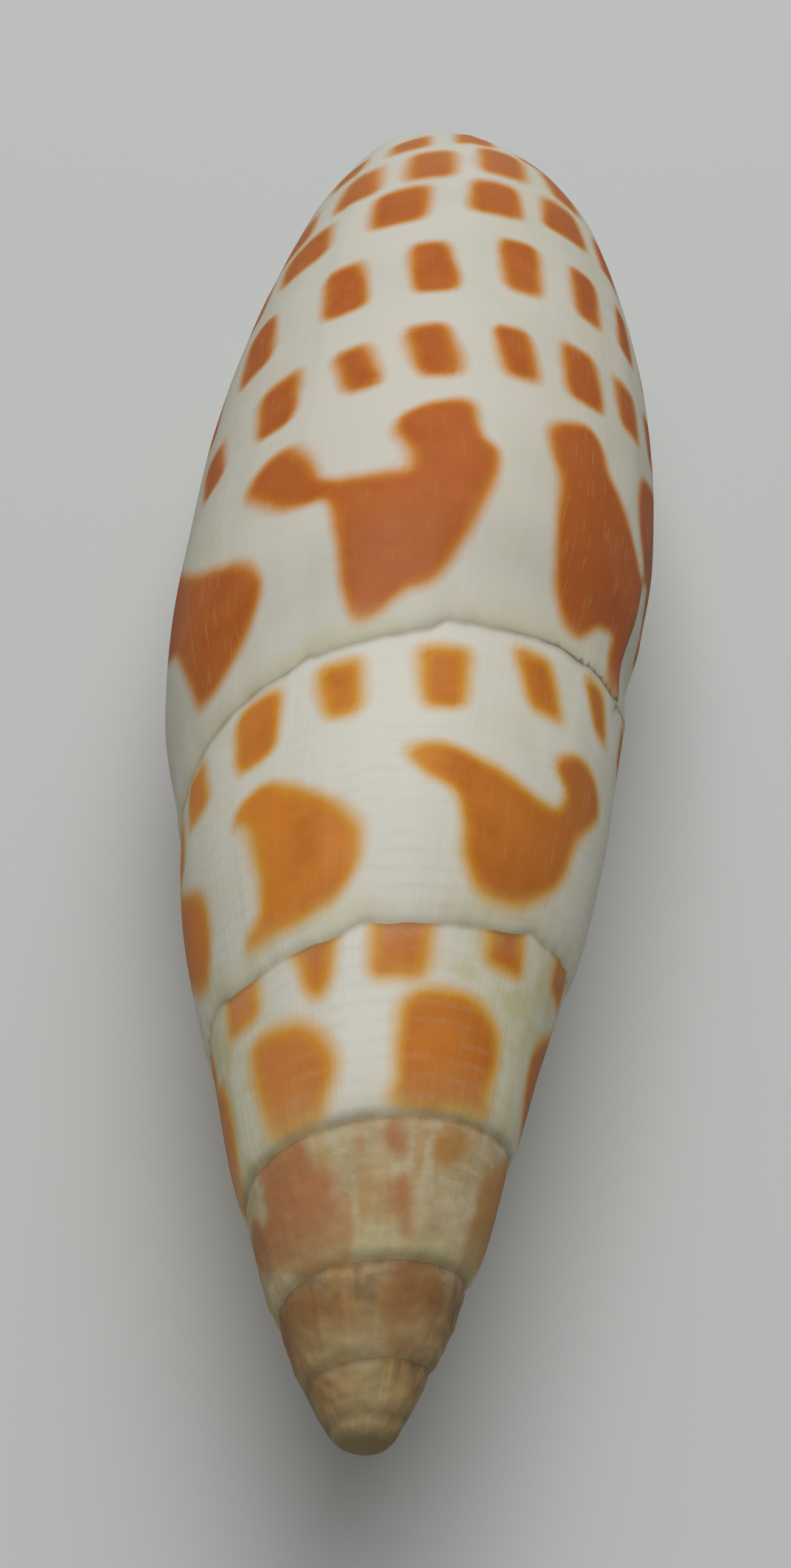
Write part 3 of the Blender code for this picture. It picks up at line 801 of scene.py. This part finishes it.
def marking_depths(degrees, ahead):
    """For points of the outside: how deep in a marking, in millimetres, and that marking's tone."""
    draw = random.Random(TONE_SEED)
    depth = np.full(degrees.shape, -FAR_MM)
    tone = np.zeros(degrees.shape)
    for whorl, outline in all_markings():
        outline = [(d + 360 * whorl, a) for d, a in outline]
        xs, ys = zip(*outline)
        middle, far = (min(xs) + max(xs)) / 2, (min(ys) + max(ys)) / 2
        back = even_suture(middle / 360)
        radius = outer_radius(middle / 360, min(back + max(far, 1) * MM / LENGTH, 1.0))
        scale = math.tau * radius / MM / 360
        reach = FAR_MM / scale
        near = np.flatnonzero((degrees > min(xs) - reach) & (degrees < max(xs) + reach)
                              & (ahead > min(ys) - FAR_MM) & (ahead < max(ys) + FAR_MM))
        scaled = [(x * scale, y) for x, y in outline]
        here = depth_in(scaled, degrees[near] * scale, ahead[near])
        deeper = here > depth[near]
        depth[near[deeper]] = here[deeper]
        tone[near[deeper]] = draw.uniform(0, 1)
    return depth, tone


def read_corners(data, name):
    """Values of a corner attribute."""
    values = np.empty(len(data.loops), np.float32)
    data.attributes[name].data.foreach_get("value", values)
    return values.astype(float)


def write_corners(data, **attributes):
    """Give the corners new attributes, each from its values."""
    for name, values in attributes.items():
        layer = data.attributes.new(name, "FLOAT", "CORNER")
        layer.data.foreach_set("value", values.astype(np.float32))


def note_pattern(data):
    """Work out, at every corner, what the finish needs to know of markings and sutures."""
    turn, along, inside = (read_corners(data, name) for name in GROWTH)
    turns, which = np.unique(turn, return_inverse=True)

    def millimetres_from(law, later=0):
        return (along - np.array([law(float(t) + later) for t in turns])[which]) * LENGTH / MM

    behind = -millimetres_from(suture, 1)
    exposed = (turn <= LIP_TURN - 1 + EDGE_TURNS) & (behind > -EDGE_MM)
    depth, tone = marking_depths(360 * turn, millimetres_from(even_suture))
    depth[inside > UNMARKED_INSIDE] = -FAR_MM
    # side: 0 on the back, 1 a quarter turn round it. right: 1 on the right, -1 on the left.
    write_corners(data, ahead=millimetres_from(suture), behind=np.where(exposed, behind, FAR_BEHIND),
                  marking=depth + SPREAD_MM, tone=tone, side=np.abs(turn - np.round(turn)) * 4,
                  right=np.sin(math.tau * turn))


def put(node, inputs):
    """Set each named input of a node, or link it if its value comes from another node."""
    for name, value in inputs.items():
        if isinstance(value, Value):
            node.id_data.links.new(value.socket, node.inputs[name])
        else:
            node.inputs[name].default_value = (*value, 1.0) if isinstance(value, tuple) else value


def add_node(tree, kind, inputs, output=0, **settings):
    """Add a node with its settings and inputs, and return one of its outputs."""
    node = tree.nodes.new("ShaderNode" + kind)
    for name, setting in settings.items():
        setattr(node, name, setting)
    put(node, inputs)
    return Value(node, output)


class Value:
    """An output of a node. Its operators and methods add nodes that work on from it."""

    def __init__(self, node, output):
        self.node = node
        self.socket = node.outputs[output]

    def then(self, kind, inputs, output=0, **settings):
        return add_node(self.node.id_data, kind, inputs, output, **settings)

    def math(self, operation, other=0.0):
        return self.then("Math", {0: self, 1: other}, operation=operation)

    __add__ = partialmethod(math, "ADD")
    __sub__ = partialmethod(math, "SUBTRACT")
    __mul__ = partialmethod(math, "MULTIPLY")
    __truediv__ = partialmethod(math, "DIVIDE")
    larger = partialmethod(math, "MAXIMUM")

    def noise(self, scale, detail=2.0, roughness=0.5):
        """Cloudy noise from 0 to 1, with a number of features for each millimetre."""
        inputs = {"Vector": self, "Scale": scale, "Detail": detail, "Roughness": roughness}
        return self.then("TexNoise", inputs, "Fac")

    def band(self, low, high, bottom=0.0, top=1.0):
        """Ease from bottom to top as this goes from low to high."""
        inputs = {"Value": self, "From Min": low, "From Max": high, "To Min": bottom, "To Max": top}
        return self.then("MapRange", inputs, "Result", interpolation_type="SMOOTHSTEP")

    def ramp(self, *stops):
        """Colours at positions from 0 to 1."""
        colour = self.then("ValToRGB", {"Fac": self}, "Color")
        elements = colour.node.color_ramp.elements
        while len(elements) < len(stops):
            elements.new(0.5)
        for element, (position, stop) in zip(elements, stops):
            element.position = position
            element.color = (*stop, 1.0)
        return colour

    def mix(self, a, b):
        """Mix two colours, with this as the share of the second."""
        return self.then("Mix", {"Factor": self, 6: a, 7: b}, 2, data_type="RGBA")


def painted(colour, *coats):
    """Lay coats over a colour, one after the other, each a (share, colour)."""
    for share, coat in coats:
        colour = share.mix(colour, coat)
    return colour


def new_material(name):
    """Make a material, and return it with its node tree."""
    material = bpy.data.materials.new(name)
    material.use_nodes = True
    return material, material.node_tree


def object_mm(tree):
    """Object coordinates in millimetres."""
    metres = add_node(tree, "TexCoord", {}, "Object")
    return metres.then("VectorMath", {0: metres, "Scale": 1 / MM}, operation="SCALE")


def axial(at, across, along, detail=3.0):
    """Noise stretched along the growth lines; across and along are features for each millimetre."""
    steps = {0: at.turn * (ROUND_MM * across), 1: at.ahead * along}
    return at.turn.then("CombineXYZ", steps).noise(1.0, detail)


def threads(at):
    """Faint spiral threads of the older whorls, broken up along their way, from 0 to 1."""
    wave = (at.ahead * THREAD_WAVES + at.spot.noise(0.16) * THREAD_STRAY).math("SINE")
    return wave.band(0.0, 1.0) * at.spot.noise(0.55, 3.0).band(0.38, 0.62)


def shell_ground(at):
    """Ivory of the shell between its markings, stained low on its sides, with faint spiral bands."""
    ivory = at.spot.noise(0.11, 3.0).ramp((0.3, IVORY_GREEN), (0.5, IVORY), (0.72, IVORY_WARM))
    lines = axial(at, 1.6, 0.1).band(0.5, 0.8, 0.0, 0.10)
    shade = at.threads * at.older * at.ahead.band(13.0, 7.0, 0.06, 0.22)
    low = at.side.band(0.15, 0.65).larger(at.right.band(0.1, 0.6, 0.0, 0.75))
    blots = at.spot.noise(0.4, 4.0).band(0.38, 0.62, 0.35, 1.0)
    stained = low * blots * at.turn.band(*THIRD_STAINS, 0.25, 0.85)
    return painted(ivory, (at.older * 0.6, IVORY_BRIGHT), (lines, IVORY_LINE), (shade, IVORY_DULL),
                   (stained, STAIN))


def worn_ground(at):
    """Beige of the worn whorls, tan near the tip, with threads, broad streaks and chafed edges."""
    patches = at.spot.noise(0.42, 4.0, 0.6)
    near_tip = at.turn.band(*NEAR_TIP)
    pale = patches.ramp((0.3, BEIGE_DULL), (0.5, BEIGE), (0.7, BEIGE_PALE))
    dark = patches.ramp((0.36, TAN_DARK), (0.5, TAN), (0.66, TAN_PALE))
    shaded = near_tip * at.ahead.band(2.6, 0.6, 0.0, 0.45)
    paler = at.threads * at.turn.band(*THREADS_FADE, 0.3, 0.12)
    streaks = axial(at, 0.42, 0.22, 1.0) + (at.spot.noise(1.1, 4.0, 0.6) - 0.5) * 0.4
    rubbed = at.spot.noise(1.0, 4.0).band(0.38, 0.66, 0.0, 0.4)
    chafed = at.behind.band(1.5, 0.3) * rubbed * at.turn.band(*CHAFED)
    return painted(near_tip.mix(pale, dark), (shaded, TAN_GOLDEN), (paler, BEIGE_PALE),
                   (streaks.band(0.46, 0.70, 0.0, 0.6), TAN_STREAK), (chafed, BEIGE_PALE))


def worn_markings(at, orange):
    """Markings of the older whorls: painted glints along the spiral threads, pinkish near the next
    suture, painted light on the third whorl's left, rust where worn.
    """
    # painted glints: pale dashes along the spiral threads of the third whorl's markings
    thread_glints = at.threads * at.spot.noise(1.7).band(0.56, 0.72, 0.5, 1.2)
    near_next = at.behind.band(1.7, 0.3) * at.spot.noise(0.6, 3.0).band(0.35, 0.6, 0.4, 1.1)
    third = at.turn.band(*THIRD_FADES_AND_LIGHT)
    # painted light: the third whorl's markings paler on the left side of the shell
    left = at.right.band(-0.15, -0.5, 0.0, 0.18) * third
    rust = painted(at.turn.band(*OCHRE_GROWS, 0.0, 0.75).mix(RUST, OCHRE),
                   (at.ahead.band(3.5, 0.5, 0.0, 0.4), RUST_BROWN),
                   (at.turn.band(*RUST_DARKENS), RUST_BROWN))
    return painted(orange, (thread_glints.larger(near_next) * third * 0.45, ORANGE_FADED_AND_LIT),
                   (left, ORANGE_FADED_AND_LIT), (at.worn * 0.85, rust))


def marking_colours(at):
    """How much of a marking there is, and its orange from the amber rim inwards, with painted light on
    the left and painted shade on the right.
    """
    wobble = (at.spot.noise(0.55, 3.0) - 0.5) * (at.worn + 0.3)
    rim = at.ahead.band(38.0, 60.0, 0.74, 1.0) + at.worn * -0.18
    inwards = (at.marking + wobble) / (rim * at.spot.noise(0.16).band(0.35, 0.65, 0.8, 1.2))
    cloud = at.spot.noise(0.3, 4.0, 0.6)
    young = cloud.ramp((0.3, ORANGE_DEEP), (0.5, ORANGE), (0.7, ORANGE_LIGHT))
    old = cloud.ramp((0.3, GOLD_DEEP), (0.5, GOLD), (0.7, GOLD_LIGHT))
    # painted light: the older markings' gold lighter on the left side of the shell
    old = at.right.band(-0.2, -0.75, 0.0, 0.65).mix(old, GOLD_PAINTED_LIGHT)
    # deeper orange where a marking's own tone is dark, and painted shade on the right side of the shell
    dark = (at.tone * 0.35).larger(at.right.band(0.2, 0.8, 0.0, 0.75))
    strokes = axial(at, 4.5, 0.35).band(0.57, 0.70) * at.side.band(0.15, 0.6, 0.15, 0.75)
    orange = painted(at.older.mix(young, old), (dark, at.older.mix(ORANGE_DEEP, GOLD_DEEP)),
                     (strokes, ORANGE_LINE), (at.ahead.band(42.0, 62.0, 0.0, 0.3), ORANGE_FADED_AND_LIT))
    within = inwards.band(-0.1, 1.35).larger(at.worn)
    colour = within.mix(at.older.mix(AMBER, AMBER_GOLD), worn_markings(at, orange))
    return inwards.band(-0.8, 0.75) * at.worn.band(0.0, 1.0, 1.0, 0.88), colour


def suture_grime(at, colour):
    """Thin olive line and stain along the last suture, soft brown along the older ones."""
    slow = at.spot.noise(0.35, 3.0)
    left, beaded = (at.turn.band(*one) * at.turn.band(*other) for one, other in (LEFT_DIRT, BEAD_DIRT))
    stain = at.ahead.band(0.0, left * -1.2 + 3.0, 1.0, 0.0) * left.band(0.0, 1.0, 0.42, 0.8)
    stain *= slow.band(0.35, 0.65, 0.4, 1.0)
    line = at.ahead.band(0.02, 0.24, 1.0, 0.0) * slow.band(0.35, 0.6, 0.4, 0.9)
    line *= at.turn.band(*RIGHT_DIRT, 0.15, 1.0).larger(left * 0.45)
    reach = axial(at, 1.5, 0.3, 1.0).band(0.38, 0.64, 0.0, 0.42)
    between = (reach - at.ahead).band(0.0, 0.16) * beaded
    fore = at.ahead.band(0.0, 0.55, 1.0, 0.0) * at.turn.band(*OLD_FORE_GRIME, 0.1, 0.5)
    rear = at.behind.band(0.0, 0.4, 1.0, 0.0) * at.turn.band(*OLD_REAR_GRIME, 0.35, 0.55)
    soft = fore.larger(rear) * at.spot.noise(0.7, 3.0).band(0.3, 0.62, 0.5, 1.0)
    brown = at.turn.band(*GRIME_DARKENS).mix(GRIME_BROWN, GRIME_DARK)
    return painted(colour, (stain, STAIN), (line, GRIME), (between * 0.6, GRIME_BROWN), (soft, brown))


def shell_pits(at, colour):
    """A few small dark pits in the glaze, one in some of the pattern's cells."""
    distance = at.spot.then("TexVoronoi", {"Vector": at.spot, "Scale": 0.25}, "Distance")
    pick = distance.then("SeparateColor", {0: Value(distance.node, "Color")})
    pit = distance.math("LESS_THAN", pick.band(0.5, 1.0, 0.0, 0.034))
    return (pit * 0.55).mix(colour, GRIME_DARK)


def shell_bump(at):
    """Growth lines, faint spiral lines and the pitting of the spire."""
    growth = axial(at, 1.6, 0.12, 4.0) * at.worn.band(0.0, 1.0, 1.0, 0.45)
    spirals = axial(at, 0.05, 1.5, 2.0) * 0.6
    height = growth + spirals + at.spot.noise(1.3, 4.0) * at.worn * 2.5
    inputs = {"Distance": BUMP_DISTANCE, "Strength": BUMP_STRENGTH, "Height": height}
    return height.then("Bump", inputs, "Normal")


def shell_finish():
    """Glossy ivory with burnt-orange markings, dirt along the sutures and a worn, dull spire."""
    material, tree = new_material("shell_glaze")
    # at: what the finish knows of each point of the shell.
    names = ("turn", "ahead", "behind", "inside", "marking", "tone", "side", "right")
    at = SimpleNamespace(**{n: add_node(tree, "Attribute", {}, "Fac", attribute_name=n) for n in names})
    at.spot = object_mm(tree)
    at.older = at.turn.band(*OLDER)
    at.worn = (at.turn + at.spot.noise(0.5, 3.0) * 0.35).band(*WORN)
    at.threads = threads(at)
    share, orange = marking_colours(at)
    ground = at.worn.mix(shell_ground(at), worn_ground(at))
    colour = shell_pits(at, suture_grime(at, share.mix(ground, orange)))
    rough = at.worn * WORN_ROUGHNESS + at.spot.noise(0.9, 4.0) * 0.16 + SHELL_ROUGHNESS
    put(tree.nodes["Principled BSDF"], {
        "Base Color": at.inside.band(0.3, 1.0).mix(colour, APERTURE_CREAM), "Roughness": rough,
        "Specular IOR Level": SHELL_SPECULAR, "Normal": shell_bump(at)})
    return material


def add_object(name, data):
    """Put an object into the scene."""
    thing = bpy.data.objects.new(name, data)
    bpy.context.scene.collection.objects.link(thing)
    return thing


def add_mesh(name, mesh, material):
    """Put a mesh into the scene, with its material."""
    data = bpy.data.meshes.new(name)
    mesh.to_mesh(data)
    mesh.free()
    data.materials.append(material)
    return add_object(name, data)


def make_shell():
    """Put the fine shell in the solid's place."""
    shell = add_mesh("mitre_shell", build_shell(), shell_finish())
    shell.data.shade_smooth()
    note_pattern(shell.data)
    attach(shell, "root")
    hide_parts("shell")


def make_floor():
    """Plain pale floor that turns into the surround's grey far out, so that low views have no edge."""
    mesh = bmesh.new()
    bmesh.ops.create_grid(mesh, x_segments=1, y_segments=1, size=FLOOR_HALF)
    material, tree = new_material("floor_paper")
    out = object_mm(tree)
    distance = out.then("VectorMath", {0: out}, "Value", operation="LENGTH")
    glow = distance.band(FAR_STARTS, FAR_FULL) * add_node(tree, "LightPath", {}, "Is Camera Ray")
    put(tree.nodes["Principled BSDF"], {
        "Base Color": glow.mix(FLOOR_GREY, BLACK), "Roughness": FLOOR_ROUGHNESS,
        "Specular IOR Level": FLOOR_SPECULAR, "Emission Color": FAR_GREY, "Emission Strength": glow})
    floor = add_mesh("floor", mesh, material)
    floor.visible_glossy = False


def make_lamp(name, place_at, power, glints):
    """A square soft lamp that faces the shell."""
    lamp = bpy.data.lights.new(name, "AREA")
    lamp.shape = "SQUARE"
    lamp.size = LAMP_SIZE
    lamp.energy = power
    holder = add_object(name, lamp)
    holder.location = place_at
    holder.rotation_euler = (-Vector(place_at)).to_track_quat("-Z", "Y").to_euler()
    holder.visible_glossy = glints


def make_light():
    """Soft studio light from above and an even, pale surround, grey where the camera sees it."""
    for lamp in LAMPS:
        make_lamp(*lamp)
    world = bpy.data.worlds.new("surround")
    world.use_nodes = True
    tree = world.node_tree
    background = tree.nodes["Background"]
    put(background, {"Color": SURROUND, "Strength": SURROUND_STRENGTH})
    backdrop = add_node(tree, "Background", {"Color": FAR_GREY})
    seen = add_node(tree, "LightPath", {}, "Is Camera Ray")
    either = add_node(tree, "MixShader", {0: seen, 1: Value(background, 0), 2: backdrop})
    put(tree.nodes["World Output"], {"Surface": either})
    bpy.context.scene.world = world


def make_camera():
    """Camera above the spire's end, looking down along the back."""
    lens = bpy.data.cameras.new("camera")
    lens.lens = LENS_MM
    lens.sensor_width = SENSOR_MM
    lens.clip_start = NEAREST_SEEN
    camera = add_object("camera", lens)
    camera.location = CAMERA_PLACE
    camera.rotation_euler = Euler([math.radians(angle) for angle in CAMERA_TURN])
    bpy.context.scene.camera = camera


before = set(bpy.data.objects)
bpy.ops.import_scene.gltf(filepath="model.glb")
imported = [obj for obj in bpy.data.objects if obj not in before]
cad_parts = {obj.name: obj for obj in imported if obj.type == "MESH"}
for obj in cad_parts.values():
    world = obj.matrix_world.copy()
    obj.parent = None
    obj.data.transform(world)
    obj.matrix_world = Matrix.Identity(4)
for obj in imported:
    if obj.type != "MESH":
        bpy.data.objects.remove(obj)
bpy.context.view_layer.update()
bpy.context.scene.view_settings.view_transform = "Standard"
make_camera()
make_light()
make_floor()
make_shell()
